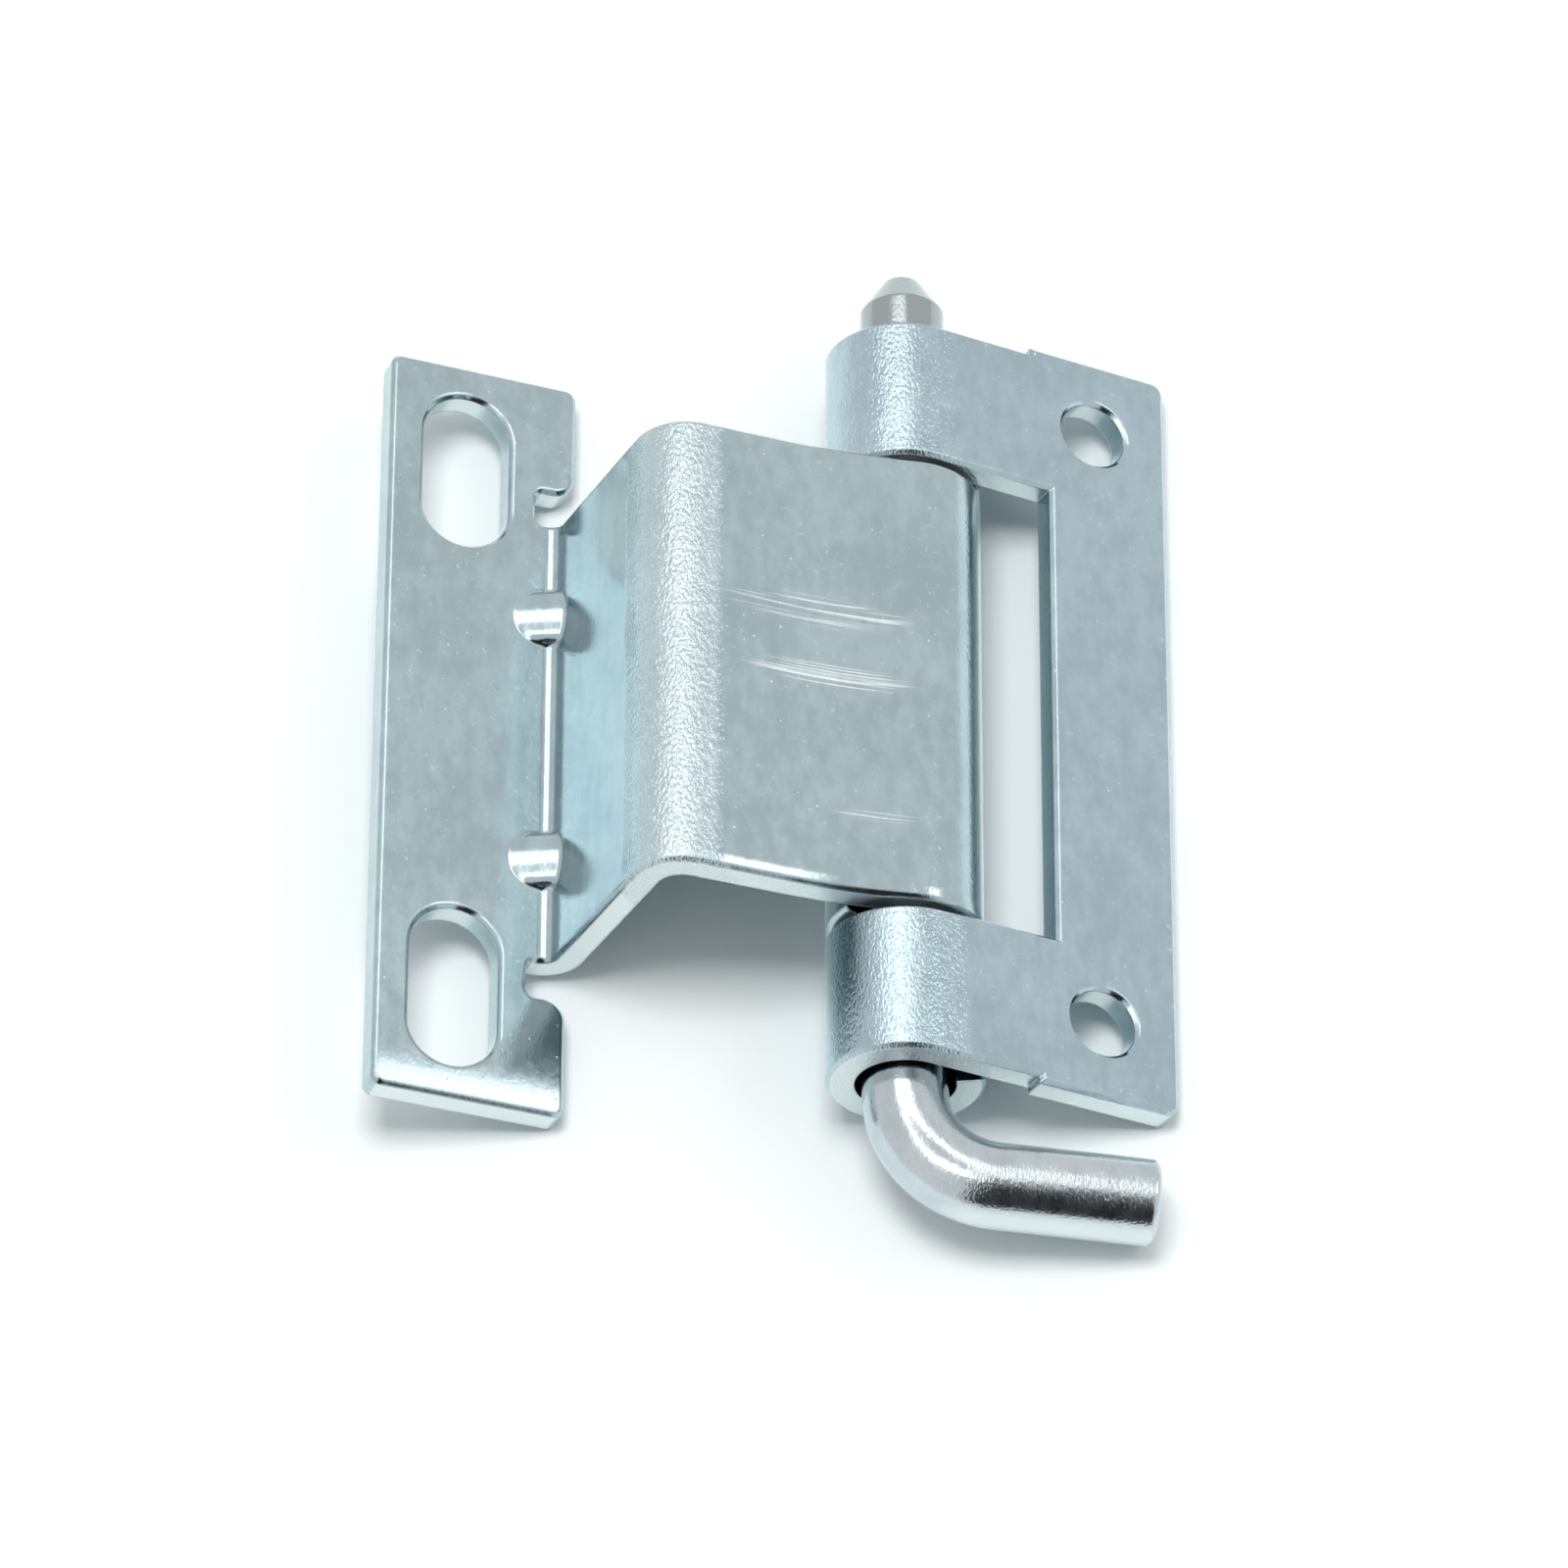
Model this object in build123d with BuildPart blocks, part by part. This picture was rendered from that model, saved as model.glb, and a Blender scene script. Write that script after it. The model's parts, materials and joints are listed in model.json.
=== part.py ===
"""Lift-off cabinet hinge: a folded frame leaf, a windowed door leaf and a loose pin bent into a handle.

Millimetres. The hinge is drawn lying on its back. The origin is the centre of the two mounting slots, on
the back face of the frame leaf. +X runs towards the door leaf, +Y along the pin to its tip, +Z out of the
back face. Last, it is stood up as it hangs on a cabinet, with the handle at the top (+Z) and the front
facing -Y.
"""

from build123d import *
from math import acos, asin, cos, degrees, radians, sin, tan
import os

# Sheet that both leaves are made of
sheet = 2.0
edge_break = 0.3
lip_gap = 0.4

# Mounting strip of the frame leaf
strip_height = 60.0
strip_width = 14.0
strip_corner = 0.8
slot_width = 6.5
slot_length = 12.4
slot_edge = 5.8
slot_end = 8.8

# Relief notches at both ends of the fold
notch_width = 2.8
notch_depth = 2.9
notch_corner = 0.7
tab_corner = 1.6

# Tongue of the frame leaf: fold, web, shoulder, raised flat and the rise to the knuckle
tongue_width = 36.0
tab_reach = 2.2
fold_radius = 1.0
web_lean = 5.0
shoulder_radius = 1.8
flat_height = 18.7
rise_radius = 45.0
knuckle_rise = 1.1
pin_reach = 22.5

# Two stiffening beads pressed across the fold
bead_pitch = 20.0
bead_width = 4.2
bead_crown = 0.9
bead_reach = 3.2
bead_climb = 1.8
bead_blend = 0.4
bead_dent = 1.2

# Pin with a coned tip and a handle leg
pin_diameter = 6.0
pin_clearance = 0.5
tip_stand = 6.2
tip_length = 2.7
tip_diameter = 2.6
tip_round = 0.4
handle_stand = 6.6
handle_bend = 6.5
handle_length = 17.2
handle_rise = 13.0
handle_lean = 2.4
handle_end_round = 0.5

# Door leaf
door_overhang = 0.2
door_reach = 18.4
door_angle = -5.8
door_corner = 1.0
knuckle_gap = 0.45
window_reach = 9.0
arm_step = 0.5
arm_step_reach = 7.6
hole_diameter = 5.0
hole_reach = 12.6
hole_end = 6.0

# Sizes that follow from those above
bore_radius = pin_diameter / 2 + pin_clearance
knuckle_radius = bore_radius + sheet
strip_left = -slot_edge
strip_right = strip_left + strip_width
slot_pitch = strip_height - 2 * slot_end
fold_x = strip_right - tab_reach
pin_x = fold_x + pin_reach
pin_height = flat_height + knuckle_rise - knuckle_radius
window_width = tongue_width + 2 * knuckle_gap
door_height = strip_height + 2 * door_overhang
hole_pitch = door_height - 2 * hole_end
shaft_end = door_height / 2 + tip_stand - tip_length
handle_drop = door_height / 2 + handle_stand

fold_turn = 90 - web_lean
bend_rise = (fold_radius + shoulder_radius + sheet) * (1 - cos(radians(fold_turn)))
web_length = (flat_height - sheet - bend_rise) / sin(radians(fold_turn))
rise_turn = degrees(acos(1 - knuckle_rise / (rise_radius + knuckle_radius)))
rise_x = pin_x - (rise_radius + knuckle_radius) * sin(radians(rise_turn))
frame_lip_turn = degrees(asin((flat_height - sheet - pin_height - lip_gap) / knuckle_radius))
frame_curl = 270 + rise_turn + frame_lip_turn
door_lip_turn = degrees(asin((knuckle_radius - sheet - lip_gap) / knuckle_radius))
door_curl = 270 + door_lip_turn


def frame_line(depth):
    """Side view of the frame leaf's tongue, from the fold to the knuckle's lip, at a depth into the sheet."""
    fold = JernArc((fold_x, sheet - depth), (1, 0), fold_radius + depth, fold_turn)
    web = PolarLine(fold @ 1, web_length, direction=fold % 1)
    shoulder = JernArc(web @ 1, web % 1, shoulder_radius + sheet - depth, -fold_turn)
    flat = Line(shoulder @ 1, (rise_x, flat_height - depth))
    rise = JernArc(flat @ 1, flat % 1, rise_radius + depth, rise_turn)
    knuckle = JernArc(rise @ 1, rise % 1, knuckle_radius - depth, -frame_curl)
    return fold @ 0, knuckle @ 1


def door_line(depth):
    """Side view of the door leaf, from the plate's edge to the knuckle's lip, at a depth into the sheet."""
    plate = Line((door_reach, knuckle_radius - depth), (0, knuckle_radius - depth))
    knuckle = JernArc(plate @ 1, (-1, 0), knuckle_radius - depth, door_curl)
    return plate @ 0, knuckle @ 1


def lies_on(edge, line):
    """Whether an edge lies on the sheet face whose side view is the line."""
    middle = edge.position_at(0.5)
    return line.distance_to(Vertex(middle.X, 0, middle.Z)) < sheet / 100


os.makedirs("parts", exist_ok=True)

# Beads: two crowned ridges that ramp across the fold from the strip to the web, and the dents behind them
fold_corner = Vector(fold_x + fold_radius * tan(radians(fold_turn / 2)), 0, sheet)
mid_corner = (fold_corner.X + sheet / 2 * tan(radians(fold_turn / 2)), sheet / 2)
bead_foot = fold_corner - Vector(bead_reach, 0, 0)
bead_head = fold_corner + Vector(cos(radians(fold_turn)), 0, sin(radians(fold_turn))) * bead_climb
bead_way = (bead_head - bead_foot).normalized()
bead_plane = Plane(origin=bead_foot, x_dir=(0, 1, 0), z_dir=bead_way)
bead_places = ((-bead_pitch / 2, 0), (bead_pitch / 2, 0))

with BuildPart() as beads:
    with BuildSketch(bead_plane.offset(-bead_reach)):
        with Locations(bead_places):
            with Locations((0, -bead_crown)):
                Ellipse(bead_width / 2, bead_crown)
                Rectangle(bead_width, 2 * sheet, align=(Align.CENTER, Align.MAX))
    extrude(amount=4 * bead_reach)
    with BuildSketch(Plane.XZ):
        with BuildLine():
            mid_strip = Line((fold_corner.X - 2 * bead_reach, sheet / 2), mid_corner)
            mid_web = PolarLine(mid_strip @ 1, 2 * bead_reach, fold_turn)
            Line(mid_web @ 1, mid_strip @ 0)
        make_face()
    extrude(amount=bead_pitch, both=True, mode=Mode.INTERSECT)

with BuildPart() as dents:
    with BuildSketch(bead_plane.offset(-bead_reach)):
        with Locations(bead_places):
            with Locations((0, -sheet - bead_dent)):
                Circle(bead_dent)
    extrude(amount=4 * bead_reach)

# Frame leaf: the flat strip with its slots and notches, then the tongue, then the beads
with BuildPart() as frame_leaf:
    with BuildSketch():
        with Locations((strip_left, 0)):
            Rectangle(strip_width, strip_height, align=(Align.MIN, Align.CENTER))
        with GridLocations(0, tongue_width + notch_width, 1, 2):
            with Locations((strip_right - notch_depth, 0)):
                Rectangle(strip_width, notch_width, align=(Align.MIN, Align.CENTER), mode=Mode.SUBTRACT)
        fillet(vertices().group_by(Axis.X)[1], notch_corner)
        fillet(vertices().group_by(Axis.X)[-1].sort_by(Axis.Y)[1:-1], tab_corner)
        fillet(vertices().group_by(Axis.Y)[0] + vertices().group_by(Axis.Y)[-1], strip_corner)
        with Locations((fold_x, 0)):
            Rectangle(strip_width, tongue_width, align=(Align.MIN, Align.CENTER), mode=Mode.SUBTRACT)
        with GridLocations(0, slot_pitch, 1, 2):
            SlotOverall(slot_length, slot_width, rotation=90, mode=Mode.SUBTRACT)
    extrude(amount=sheet)
    with BuildSketch(Plane.XZ):
        with BuildLine():
            upper = frame_line(0)
            lower = frame_line(sheet)
            Line(upper[0], lower[0])
            Line(upper[1], lower[1])
        make_face()
    extrude(amount=tongue_width / 2, both=True)
    with BuildLine(Plane.XZ, mode=Mode.PRIVATE) as frame_face:
        Line((strip_left, sheet), (fold_x, sheet))
        Line((fold_x, sheet), (strip_right, sheet))
        frame_line(0)
    frame_rim = frame_leaf.edges().filter_by(lambda edge: lies_on(edge, frame_face.line))
    frame_bends = frame_rim.filter_by(Axis.Y).filter_by_position(Axis.Y, -sheet, sheet)
    frame_bends = frame_bends.filter_by_position(Axis.X, fold_x - sheet, pin_x + knuckle_radius)
    chamfer(frame_rim - frame_bends, edge_break)
    add(beads.part)
    bead_feet = frame_leaf.edges(Select.LAST)
    bead_feet = bead_feet - bead_feet.filter_by(Axis.Y) - bead_feet.filter_by(Axis(bead_foot, bead_way))
    fillet(bead_feet, bead_blend)
    add(dents.part, mode=Mode.SUBTRACT)

# Door leaf: one rolled section, cut out for the window and stepped in along the arms
door_side = Plane(
    origin=(pin_x, 0, pin_height),
    x_dir=(cos(radians(door_angle)), 0, sin(radians(door_angle))),
    z_dir=(0, -1, 0),
)
door_plan = Plane(origin=door_side.origin, x_dir=door_side.x_dir, z_dir=door_side.y_dir)

with BuildPart() as door_leaf:
    with BuildSketch(door_side):
        with BuildLine():
            outer = door_line(0)
            inner = door_line(sheet)
            Line(outer[0], inner[0])
            Line(outer[1], inner[1])
        make_face()
    extrude(amount=door_height / 2, both=True)
    with BuildSketch(door_plan):
        with Locations((window_reach, 0)):
            Rectangle(2 * door_reach, window_width, align=(Align.MAX, Align.CENTER))
        with GridLocations(0, door_height, 1, 2):
            with Locations((arm_step_reach, 0)):
                Rectangle(2 * door_reach, 2 * arm_step, align=(Align.MAX, Align.CENTER))
        with GridLocations(0, hole_pitch, 1, 2):
            with Locations((hole_reach, 0)):
                Circle(hole_diameter / 2)
    extrude(amount=2 * knuckle_radius, both=True, mode=Mode.SUBTRACT)
    door_normal = Axis(door_side.origin, door_side.y_dir)
    fillet(door_leaf.edges().filter_by(door_normal).sort_by(Axis.X)[-2:], door_corner)
    with BuildLine(door_side, mode=Mode.PRIVATE) as door_face:
        door_line(0)
    door_rim = door_leaf.edges().filter_by(lambda edge: lies_on(edge, door_face.line))
    door_bends = door_rim.filter_by(Axis.Y)
    door_bends = door_bends.filter_by_position(Axis.X, pin_x - bore_radius, pin_x + bore_radius)
    chamfer(door_rim - door_bends, edge_break)

# Hinge pin: a rod bent into the handle, with a cone at the tip
shaft_top = Vector(pin_x, shaft_end, pin_height)
shaft_corner = Vector(pin_x, -handle_drop, pin_height)
handle_level = cos(radians(handle_lean))
handle_way = Vector(
    handle_level * cos(radians(handle_rise)),
    -sin(radians(handle_lean)),
    handle_level * sin(radians(handle_rise)),
)

with BuildPart() as hinge_pin:
    with BuildLine():
        FilletPolyline(shaft_top, shaft_corner, shaft_corner + handle_way * handle_length, radius=handle_bend)
    with BuildSketch(Plane(origin=shaft_top, z_dir=(0, -1, 0))):
        Circle(pin_diameter / 2)
    sweep()
    fillet(hinge_pin.edges().sort_by(Axis.X)[-1], handle_end_round)
    with Locations(Plane(origin=shaft_top, z_dir=(0, 1, 0))):
        Cone(pin_diameter / 2, tip_diameter / 2, tip_length, align=(Align.CENTER, Align.CENTER, Align.MIN))
    fillet(hinge_pin.edges().sort_by(Axis.Y)[-1], tip_round)

# Stood up as it is used, so that the pin drops into its knuckles and its bend rests above them
upright = Plane(origin=(0, 0, 0), x_dir=(-1, 0, 0), z_dir=(0, -1, 0)).location
frame_leaf.part.move(upright)
door_leaf.part.move(upright)
hinge_pin.part.move(upright)

frame_leaf.part.label = "frame_leaf"
export_step(frame_leaf.part, "parts/frame_leaf.step")
door_leaf.part.label = "door_leaf"
export_step(door_leaf.part, "parts/door_leaf.step")
hinge_pin.part.label = "hinge_pin"
export_step(hinge_pin.part, "parts/hinge_pin.step")
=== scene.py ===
"""Looks of the cabinet hinge: blue-white zinc on folded sheet and on the bent pin, lying on a white table."""

import json
import math

import bpy
from mathutils import Matrix, Vector

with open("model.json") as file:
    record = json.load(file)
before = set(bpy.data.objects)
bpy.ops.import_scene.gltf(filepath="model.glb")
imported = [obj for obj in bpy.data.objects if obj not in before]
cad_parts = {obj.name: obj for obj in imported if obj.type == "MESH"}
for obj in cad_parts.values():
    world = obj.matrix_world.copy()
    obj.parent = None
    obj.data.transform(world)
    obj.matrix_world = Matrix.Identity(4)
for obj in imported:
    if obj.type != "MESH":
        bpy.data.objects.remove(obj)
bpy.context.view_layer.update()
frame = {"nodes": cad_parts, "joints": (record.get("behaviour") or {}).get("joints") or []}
scene = bpy.context.scene
nodes = frame["nodes"]

# The hinge lies on the table on its tabs, knuckles and plate edge. The table's axes, in the hinge's own:
# across runs from the strip to the door leaf, along from the handle to the pin's tip, upward off the table
TABLE_TILT = math.radians(22.35)
TABLE_MIDDLE = 0.02
across = Vector((-math.cos(TABLE_TILT), -math.sin(TABLE_TILT), 0))
along = Vector((0, 0, -1))
upward = Vector((math.sin(TABLE_TILT), -math.cos(TABLE_TILT), 0))
table_turn = Matrix((across, along, upward)).transposed()
lowest = min(v.co.dot(upward) for node in nodes.values() for v in node.data.vertices)
table_point = table_turn @ Vector((TABLE_MIDDLE, 0, lowest))

# Bends of the sheet, where its grain opens and the zinc is paler, partly as a painted highlight: the middle
# line of each bend, the radius of its outer face, and how many radii from the middle line the grain has
# closed again and the paler colour has faded
pin_axis = Vector(next(joint["pos_m"] for joint in frame["joints"] if joint["name"] == "door_swing"))
shoulder_axis = Vector((-0.01186, -0.0149, 0))
KNUCKLE_RADIUS = 0.0055
SHOULDER_RADIUS = 0.0038
BEND_FADE = 1.12

# Rub marks on the raised flat: middle, half length across and half width along the pin; slant and half depth
RUB_MARKS = (
    (Vector((-0.0215, -0.0187, -0.0041)), 0.0085, 0.0013),
    (Vector((-0.0226, -0.0187, 0.0010)), 0.0080, 0.0010),
    (Vector((-0.0263, -0.0187, 0.0119)), 0.0048, 0.0005),
)
RUB_SLANT = math.radians(3.6)
RUB_DEPTH = 0.0012

# Sheared ends that are rolled over: height where the roll starts, its length and its slope at the end.
# The tongue is the sheet that stands off the mounting face by more than the raised depth
STRIP_ROLL = (0.0270, 0.0030, 0.095)
TONGUE_ROLL = (0.0168, 0.0012, 0.20)
DOOR_ROLL = (0.0296, 0.0006, 0.20)
RAISED = -0.0035

# Depth of the grain, and height below which the pin's tip is darkened with painted shade that stands for a
# darker reflection, with the width of the change
GRAIN_DEPTH = 0.00006
TIP_SHADE_HEIGHT = -0.0305
TIP_SHADE_FADE = 0.0004

# Fineness of the zinc's patterns, in waves per metre across, out and along the pin,
# and how far the outlines of the nicks are shaken
CLOUD_WAVES = 130
MOTTLE_WAVES = (900, 900, 500)
SPECK_WAVES = 2200
GRAIN_WAVES = (5000, 5000, 2600)
HAIR_WAVES = (90, 90, 8000)
NICK_WAVES = 1500
SHAKE_WAVES = 1800
SHAKE = 0.0004

# Colours of the zinc where it is specked, bent, rubbed, nicked or cut, and of the painted shade on the pin's
# tip; the bent colour is paler zinc and partly a painted highlight on the shoulder
SPECK_COLOUR = (0.80, 0.84, 0.85)
BENT_HIGHLIGHT_COLOUR = (0.72, 0.76, 0.77)
RUBBED_COLOUR = (0.86, 0.90, 0.91)
NICKED_COLOUR = (0.84, 0.88, 0.89)
CUT_COLOUR = (0.60, 0.645, 0.645)
TIP_SHADE_COLOUR = (0.32, 0.35, 0.355)

# Where each pattern starts and is full; for the edges of rub marks and nicks, where they fade and end
TONE_FADE = (0.36, 0.64)
SPECK_FADE = (0.62, 0.78)
BENT_HIGHLIGHT_FADE = (0.9, 1.8)
HAIR_FADE = (0.74, 0.8)
RUBBED_FADE = (0.5, 0.62)
CUT_FADE = (0.85, 0.97)
RUB_EDGE = (0.6, 1.1)
NICK_EDGE = (0.06, 0.2)

# Strength of stray scratches, tint of each pattern, added roughness where rubbed or cut,
# and heights of specks and nicks in grain depths
STRAY_HAIR = 0.12
SPECK_TINT = 0.3
BENT_HIGHLIGHT_TINT = 0.2
RUBBED_TINT = 0.75
NICKED_TINT = 0.25
ROUGHER = 0.16
SPECK_HEIGHT = 0.1
NICK_DROP = 0.12

# The viewer's place: the point looked at, the distance to it, and the turn, height and roll over the table
VIEW_TARGET = Vector((-0.02043, -0.0120, 0.0061))
VIEW_DISTANCE = 0.6362
VIEW_TURN = math.radians(2.011)
VIEW_HEIGHT = math.radians(58.599)
VIEW_ROLL = math.radians(-2.178)


class Recipe:
    """The node tree of one material, with short ways to add to it."""

    def __init__(self, name):
        self.material = bpy.data.materials.new(name)
        self.material.use_nodes = True
        self.tree = self.material.node_tree
        self.tree.nodes.clear()

    def node(self, kind, inputs, **settings):
        """Adds a node. An input is a plain value or the output of another node."""
        made = self.tree.nodes.new("ShaderNode" + kind)
        for name, value in settings.items():
            setattr(made, name, value)
        for key, value in inputs.items():
            if hasattr(value, "is_output"):
                self.tree.links.new(value, made.inputs[key])
            else:
                made.inputs[key].default_value = value
        return made

    def math(self, operation, *values):
        return self.node("Math", dict(enumerate(values)), operation=operation).outputs[0]

    def vector_math(self, operation, *values):
        return self.node("VectorMath", dict(enumerate(values)), operation=operation)

    def noise(self, place, scale, detail, rough=0.55):
        inputs = {"Vector": place, "Scale": scale, "Detail": detail, "Roughness": rough}
        return self.node("TexNoise", inputs).outputs["Fac"]

    def stretch(self, place, scale, turn=(0, 0, 0)):
        return self.node("Mapping", {"Vector": place, "Scale": scale, "Rotation": turn}).outputs["Vector"]

    def ramp(self, value, low, high, out_low=0.0, out_high=1.0):
        inputs = {"Value": value, "From Min": low, "From Max": high, "To Min": out_low, "To Max": out_high}
        return self.node("MapRange", inputs, interpolation_type="SMOOTHSTEP").outputs["Result"]

    def mix(self, factor, a, b):
        mixed = self.node("Mix", {"Factor": factor}, data_type="RGBA")
        for key, value in (("A", a), ("B", b)):
            socket = next(s for s in mixed.inputs if s.name == key and s.type == "RGBA")
            if hasattr(value, "is_output"):
                self.tree.links.new(value, socket)
            else:
                socket.default_value = (*value, 1)
        return next(s for s in mixed.outputs if s.type == "RGBA")

    def round_axis(self, place, axis, inner, outer):
        """1 within the inner radius of an upright axis, 0 beyond the outer one."""
        aside = self.vector_math("SUBTRACT", place, axis).outputs["Vector"]
        level = self.vector_math("MULTIPLY", aside, (1, 1, 0)).outputs["Vector"]
        return self.ramp(self.vector_math("LENGTH", level).outputs["Value"], inner, outer, 1, 0)

    def surface(self, shader):
        self.node("OutputMaterial", {"Surface": shader.outputs[0]})


def rubbed(recipe, place):
    """Strength of the light scratches that lie in the rub marks."""
    hair = recipe.noise(recipe.stretch(place, HAIR_WAVES, (0, RUB_SLANT, 0)), 1.0, 2)
    total = recipe.ramp(hair, *HAIR_FADE, 0, STRAY_HAIR)
    for middle, length, width in RUB_MARKS:
        aside = recipe.vector_math("SUBTRACT", place, middle).outputs["Vector"]
        slanted = recipe.stretch(aside, (1 / length, 1 / RUB_DEPTH, 1 / width), (0, RUB_SLANT, 0))
        reach = recipe.vector_math("LENGTH", slanted).outputs["Value"]
        here = recipe.math("MULTIPLY", recipe.ramp(reach, *RUB_EDGE, 1, 0), recipe.ramp(hair, *RUBBED_FADE))
        total = recipe.math("MAXIMUM", total, here)
    return total


def rolled(recipe, height, start, length, slope):
    """Drop of a rolled end, in grain depths: it steepens from the start to the slope at the end."""
    beyond = recipe.math("MAXIMUM", recipe.math("SUBTRACT", height, start), 0.0)
    squared = recipe.math("MULTIPLY", beyond, beyond)
    return recipe.math("MULTIPLY", squared, slope / (2 * length * GRAIN_DEPTH))


def nicked(recipe, place, wear):
    """Strength of the small nicks, of which wear is the share that shows."""
    shaken = recipe.node("TexNoise", {"Vector": place, "Scale": SHAKE_WAVES, "Detail": 1}).outputs["Color"]
    shaken = recipe.vector_math("MULTIPLY", shaken, (SHAKE, SHAKE, SHAKE)).outputs["Vector"]
    shaken = recipe.vector_math("ADD", place, shaken).outputs["Vector"]
    pits = recipe.node("TexVoronoi", {"Vector": shaken, "Scale": NICK_WAVES})
    nick = recipe.ramp(pits.outputs["Distance"], *NICK_EDGE, 1, 0)
    chosen = recipe.node("SeparateColor", {"Color": pits.outputs["Color"]}).outputs["Red"]
    return recipe.math("MULTIPLY", nick, recipe.ramp(chosen, 1 - wear, 1.1 - wear))


def grain_and_highlight_opening(recipe, place, cloud, grit, bends):
    """How far the grain opens: cloudy on the flat, and more on each bend. It also sets the paler colour of
    the bends, partly a painted highlight.
    """
    opened_and_highlight = recipe.math("MULTIPLY", cloud, grit)
    for axis, radius, strength in bends:
        near = recipe.round_axis(place, axis, radius, radius * BEND_FADE)
        opened_and_highlight = recipe.math("MAXIMUM", opened_and_highlight, recipe.math("MULTIPLY", near, strength))
    return opened_and_highlight


def zinc(name, tone, pale, roughness, edge, wear, grit, bends=(), rolls=(), raised_rolls=()):
    """Blue-white zinc: cloudy tone, fine grain that opens on bends, nicks, scratches and pale cut ends; paler
    on bends, partly as a painted highlight, and darkened on the pin's tip as painted shade.
    """
    recipe = Recipe(name)
    coordinates = recipe.node("TexCoord", {})
    place = coordinates.outputs["Object"]
    parts = recipe.node("SeparateXYZ", {"Vector": place}).outputs
    cloud = recipe.noise(place, CLOUD_WAVES, 4)
    mottle = recipe.noise(recipe.stretch(place, MOTTLE_WAVES), 1.0, 4)
    speck = recipe.noise(place, SPECK_WAVES, 3)
    grain = recipe.noise(recipe.stretch(place, GRAIN_WAVES), 1.0, 2)
    opened_and_highlight = grain_and_highlight_opening(recipe, place, cloud, grit, bends)
    nick = nicked(recipe, place, wear)
    rub = rubbed(recipe, place)
    facing = recipe.node("SeparateXYZ", {"Vector": coordinates.outputs["Normal"]}).outputs["Z"]
    cut = recipe.ramp(recipe.math("ABSOLUTE", facing), *CUT_FADE)
    # Painted shade: the pin's tip below this height is darkened, standing for a darker reflection
    tip_shade = recipe.ramp(parts["Z"], TIP_SHADE_HEIGHT, TIP_SHADE_HEIGHT + TIP_SHADE_FADE, 1, 0)
    mixed = recipe.math("ADD", recipe.math("MULTIPLY", cloud, 0.5), recipe.math("MULTIPLY", mottle, 0.5))

    colour = recipe.mix(recipe.ramp(mixed, *TONE_FADE), tone, pale)
    colour = recipe.mix(recipe.ramp(speck, *SPECK_FADE, 0, SPECK_TINT), colour, SPECK_COLOUR)
    # Painted highlight, partly paler zinc: the bends, the shoulder most, are mixed towards a paler colour
    colour = recipe.mix(recipe.ramp(opened_and_highlight, *BENT_HIGHLIGHT_FADE, 0, BENT_HIGHLIGHT_TINT), colour, BENT_HIGHLIGHT_COLOUR)
    colour = recipe.mix(recipe.math("MULTIPLY", rub, RUBBED_TINT), colour, RUBBED_COLOUR)
    colour = recipe.mix(recipe.math("MULTIPLY", nick, NICKED_TINT), colour, NICKED_COLOUR)
    colour = recipe.mix(cut, colour, CUT_COLOUR)
    # Painted shade on the pin's tip
    colour = recipe.mix(tip_shade, colour, TIP_SHADE_COLOUR)

    rough = recipe.ramp(mixed, *TONE_FADE, *roughness)
    rough = recipe.math("ADD", rough, recipe.math("MULTIPLY", recipe.math("MAXIMUM", cut, rub), ROUGHER))

    height = recipe.math("MULTIPLY", grain, opened_and_highlight)
    height = recipe.math("ADD", height, recipe.math("MULTIPLY", speck, SPECK_HEIGHT))
    height = recipe.math("SUBTRACT", height, recipe.math("MULTIPLY", nick, NICK_DROP))
    for roll in rolls:
        height = recipe.math("SUBTRACT", height, rolled(recipe, parts["Z"], *roll))
    for roll in raised_rolls:
        raised = recipe.math("LESS_THAN", parts["Y"], RAISED)
        drop = recipe.math("MULTIPLY", rolled(recipe, parts["Z"], *roll), raised)
        height = recipe.math("SUBTRACT", height, drop)
    rounded = recipe.node("Bevel", {"Radius": edge}, samples=8)
    bumped = {"Strength": 1.0, "Distance": GRAIN_DEPTH, "Height": height, "Normal": rounded.outputs["Normal"]}
    bump = recipe.node("Bump", bumped)
    shading = {"Metallic": 1.0, "Base Color": colour, "Roughness": rough, "Normal": bump.outputs["Normal"]}
    recipe.surface(recipe.node("BsdfPrincipled", shading))
    return recipe.material


frame_zinc = zinc(
    "zinc_frame", tone=(0.337, 0.425, 0.452), pale=(0.405, 0.495, 0.522),
    roughness=(0.11, 0.17), edge=0.0003, wear=0.2, grit=0.12,
    # The bend strengths also set the painted highlight, which is full on the shoulder
    bends=((pin_axis, KNUCKLE_RADIUS, 0.25), (shoulder_axis, SHOULDER_RADIUS, 1.8)),
    rolls=(STRIP_ROLL,), raised_rolls=(TONGUE_ROLL,),
)
door_zinc = zinc(
    "zinc_door", tone=(0.338, 0.432, 0.477), pale=(0.398, 0.497, 0.543),
    roughness=(0.11, 0.17), edge=0.0002, wear=0.08, grit=0.12,
    bends=((pin_axis, KNUCKLE_RADIUS, 1.1),),
    rolls=(DOOR_ROLL,),
)
rod_zinc = zinc(
    "zinc_rod", tone=(0.43, 0.485, 0.515), pale=(0.50, 0.55, 0.575),
    roughness=(0.13, 0.2), edge=0.0003, wear=0.2, grit=0.6,
)
for node_name, material in (("frame_leaf", frame_zinc), ("door_leaf", door_zinc), ("hinge_pin", rod_zinc)):
    data = nodes[node_name].data
    data.materials.clear()
    data.materials.append(material)


def place_on_table(place, axes):
    """A placement whose x, y and z axes and whose point are given in the table's axes."""
    turn = table_turn @ Matrix(axes).transposed()
    return Matrix.Translation(table_turn @ Vector(place) + table_point) @ turn.to_4x4()


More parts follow.
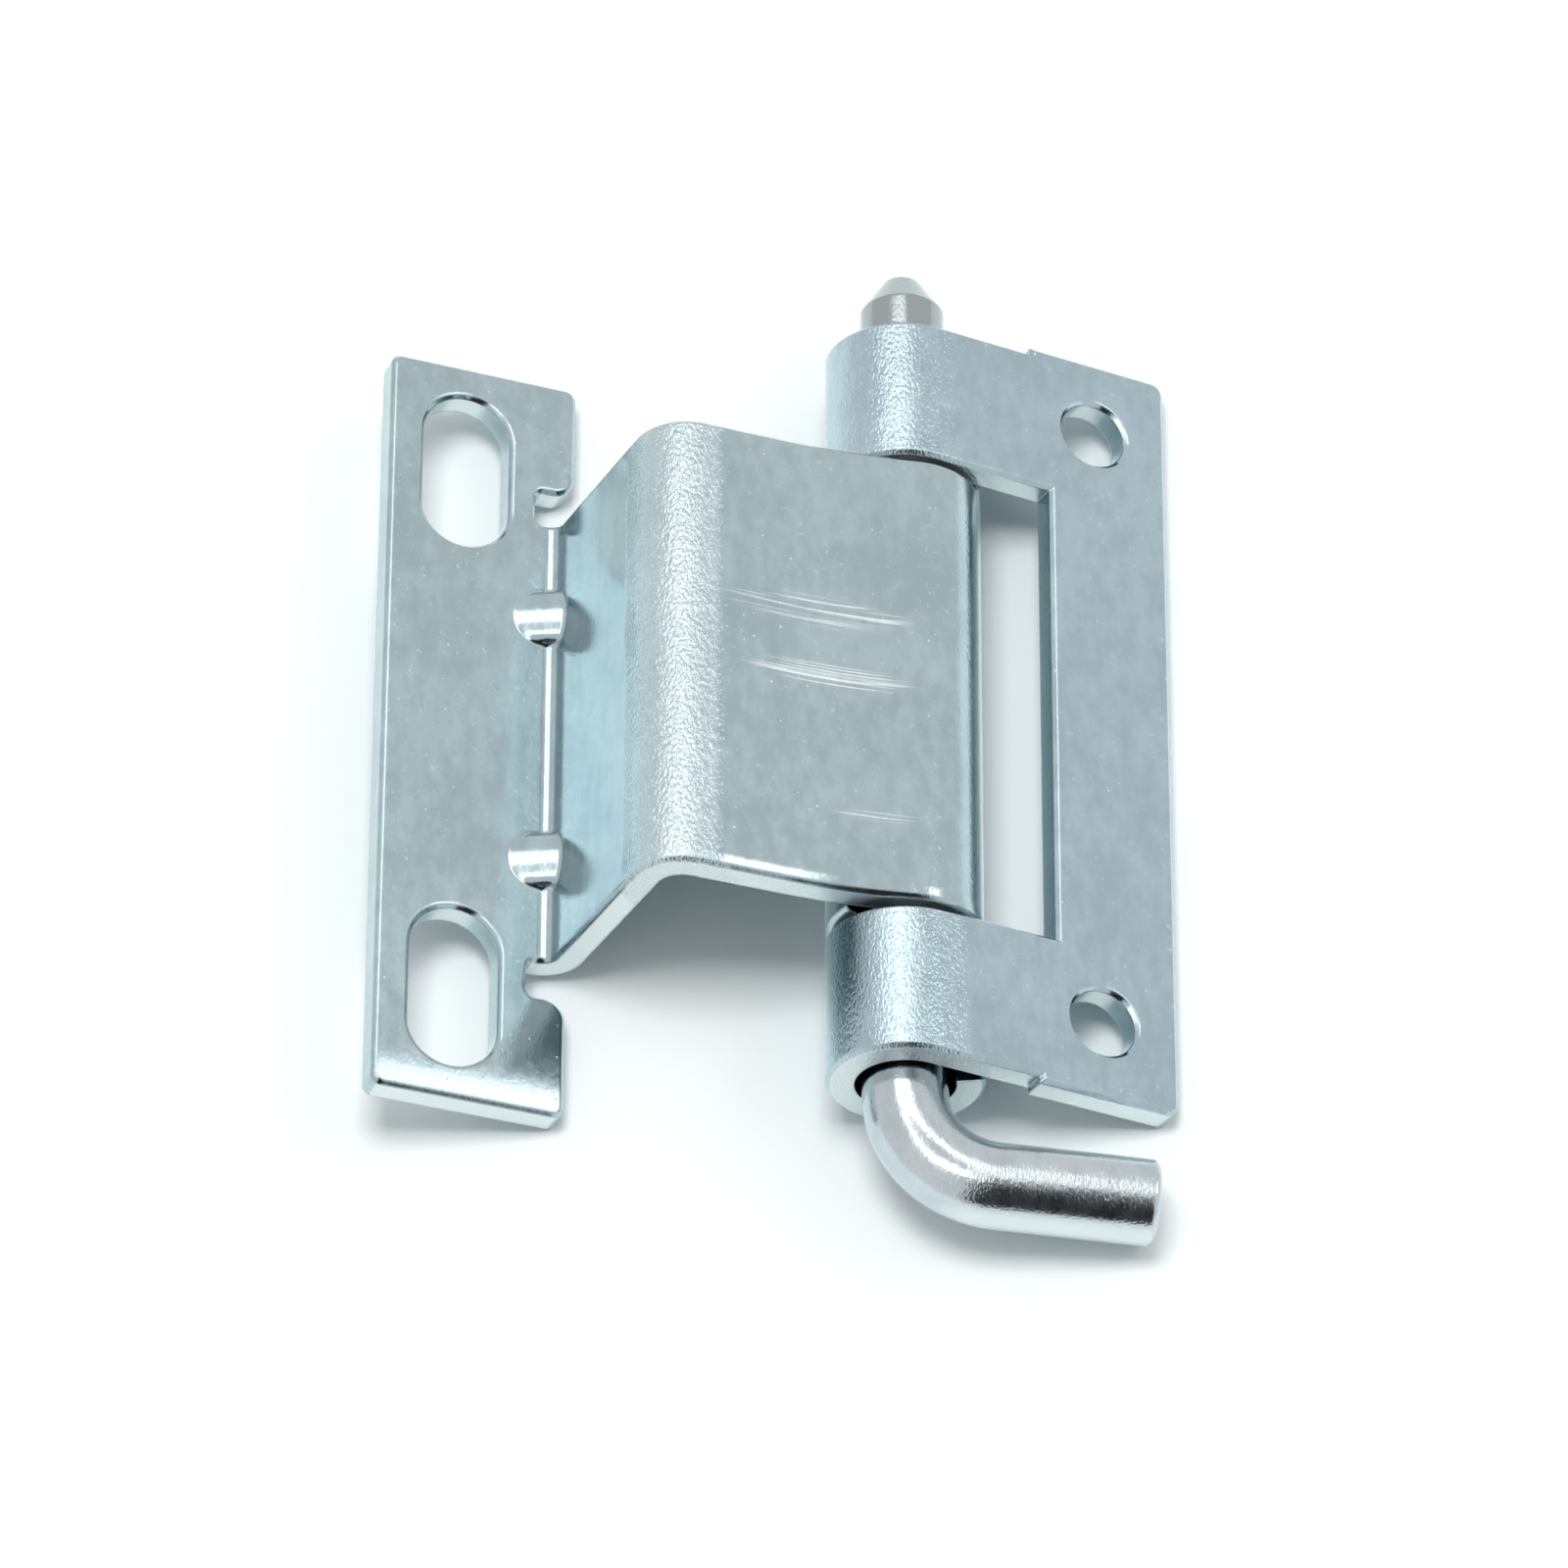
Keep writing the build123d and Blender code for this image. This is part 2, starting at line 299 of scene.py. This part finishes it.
def board(name, place, right, up, width, height, recipe):
    """A flat rectangle of the set, which faces right x up."""
    mesh = bpy.data.meshes.new(name)
    corners = [(i * width / 2, j * height / 2, 0) for i, j in ((-1, -1), (1, -1), (1, 1), (-1, 1))]
    mesh.from_pydata(corners, [], [(0, 1, 2, 3)])
    mesh.transform(place_on_table(place, (right, up, Vector(right).cross(Vector(up)))))
    mesh.materials.append(recipe.material)
    made = bpy.data.objects.new(name, mesh)
    scene.collection.objects.link(made)
    return made


def soft_light(name, place, target, width, height, power):
    """A rectangular lamp that faces a target."""
    data = bpy.data.lights.new(name, "AREA")
    data.shape = "RECTANGLE"
    data.size, data.size_y = width, height
    data.energy = power
    lamp = bpy.data.objects.new(name, data)
    scene.collection.objects.link(lamp)
    away = (Vector(place) - Vector(target)).normalized()
    right = Vector((0, 1, 0)).cross(away).normalized()
    lamp.matrix_world = place_on_table(place, (right, away.cross(right), away))
    return lamp


# White table under the hinge; it shows from above only, and its shadows are paler where metal mirrors them
TABLE_SIZE = 3
MIRRORED_LIFT = 0.25
white = Recipe("table_white")
ray = white.node("LightPath", {})
plain = white.node("BsdfDiffuse", {"Color": (0.92, 0.93, 0.935, 1)})
bright = white.node("BsdfDiffuse", {"Color": (0.945, 0.995, 1.0, 1)})
mirrored = white.math("MULTIPLY", ray.outputs["Is Glossy Ray"], MIRRORED_LIFT)
lift = white.node("Emission", {"Color": (0.8, 1, 1, 1), "Strength": mirrored})
shown = white.node("AddShader", {0: bright.outputs[0], 1: lift.outputs[0]})
direct = white.math("MAXIMUM", ray.outputs["Is Camera Ray"], ray.outputs["Is Glossy Ray"])
top = white.node("MixShader", {0: direct, 1: plain.outputs[0], 2: shown.outputs[0]})
below = white.node("NewGeometry", {}).outputs["Backfacing"]
clear = white.node("BsdfTransparent", {})
white.surface(white.node("MixShader", {0: below, 1: top.outputs[0], 2: clear.outputs[0]}))
board("table", (0, 0, 0), (1, 0, 0), (0, 1, 0), TABLE_SIZE, TABLE_SIZE, white)

# Dark screen on the viewer's side of the studio, which the metal mirrors; it leans by one in four
screen_right = Vector((4, 0, -1)).normalized()
screen_up = Vector((1, 0, 4)).normalized()
dark = Recipe("screen_dark")
dark.surface(dark.node("BsdfDiffuse", {"Color": (0.035, 0.035, 0.038, 1)}))
screen = board("screen", (0.4975, -0.9, 1.9), screen_right, screen_up, 0.62, 3.9, dark)
screen.visible_camera = False

# Room that lights the table plainly and is white where it shows or is mirrored
ROOM_PLAIN = 0.62
ROOM_WHITE = 1.0
world = bpy.data.worlds.new("studio")
scene.world = world
world.use_nodes = True
room = world.node_tree.nodes["Background"]
room.inputs["Color"].default_value = (1, 1, 1, 1)
room_ray = world.node_tree.nodes.new("ShaderNodeLightPath")
room_shown = world.node_tree.nodes.new("ShaderNodeMath")
room_shown.operation = "MAXIMUM"
room_level = world.node_tree.nodes.new("ShaderNodeMapRange")
room_level.inputs["To Min"].default_value = ROOM_PLAIN
room_level.inputs["To Max"].default_value = ROOM_WHITE
world.node_tree.links.new(room_ray.outputs["Is Camera Ray"], room_shown.inputs[0])
world.node_tree.links.new(room_ray.outputs["Is Glossy Ray"], room_shown.inputs[1])
world.node_tree.links.new(room_shown.outputs[0], room_level.inputs["Value"])
world.node_tree.links.new(room_level.outputs["Result"], room.inputs["Strength"])

# Soft boxes overhead for the metal to mirror, the lamp that casts the shadow, and a light to the right
BOX_HEIGHT = 0.7
for name, place_x, place_y, width, height, power in (
    ("overhead_back", -0.105, 0.315, 0.49, 0.43, 1.19),
    ("overhead_left", -0.125, -0.125, 0.45, 0.45, 1.145),
    ("overhead_side", 0.18, 0.087, 0.08, 0.385, 0.183),
):
    box = soft_light(name, (place_x, place_y, BOX_HEIGHT), (place_x, place_y, 0), width, height, power)
    box.visible_diffuse = False
shadow_lamp = soft_light("shadow", (-0.05, 0.02, BOX_HEIGHT), (-0.05, 0.02, 0), 0.3, 0.28, 2.6)
shadow_lamp.visible_glossy = False
soft_light("right", (0.59, 0.155, 0.62), (0, 0.045, 0), 0.22, 0.45, 0.65)

# Camera at the photograph's place
camera_data = bpy.data.cameras.new("camera")
camera_data.lens = 210.0
camera_data.sensor_width = 36.0
camera_data.clip_start = 0.01
camera_data.clip_end = 20.0
camera = bpy.data.objects.new("camera", camera_data)
scene.collection.objects.link(camera)
level = Vector((math.sin(VIEW_TURN), -math.cos(VIEW_TURN), 0)) * math.cos(VIEW_HEIGHT)
camera_back = table_turn @ (level + Vector((0, 0, math.sin(VIEW_HEIGHT))))
level_right = table_turn @ Vector((math.cos(VIEW_TURN), math.sin(VIEW_TURN), 0))
level_up = camera_back.cross(level_right)
camera_right = level_right * math.cos(VIEW_ROLL) + level_up * math.sin(VIEW_ROLL)
camera_up = camera_back.cross(camera_right)
camera_axes = Matrix((camera_right, camera_up, camera_back)).transposed()
camera_place = VIEW_TARGET + camera_back * VIEW_DISTANCE
camera.matrix_world = Matrix.Translation(camera_place) @ camera_axes.to_4x4()
scene.camera = camera

scene.view_settings.view_transform = "Standard"
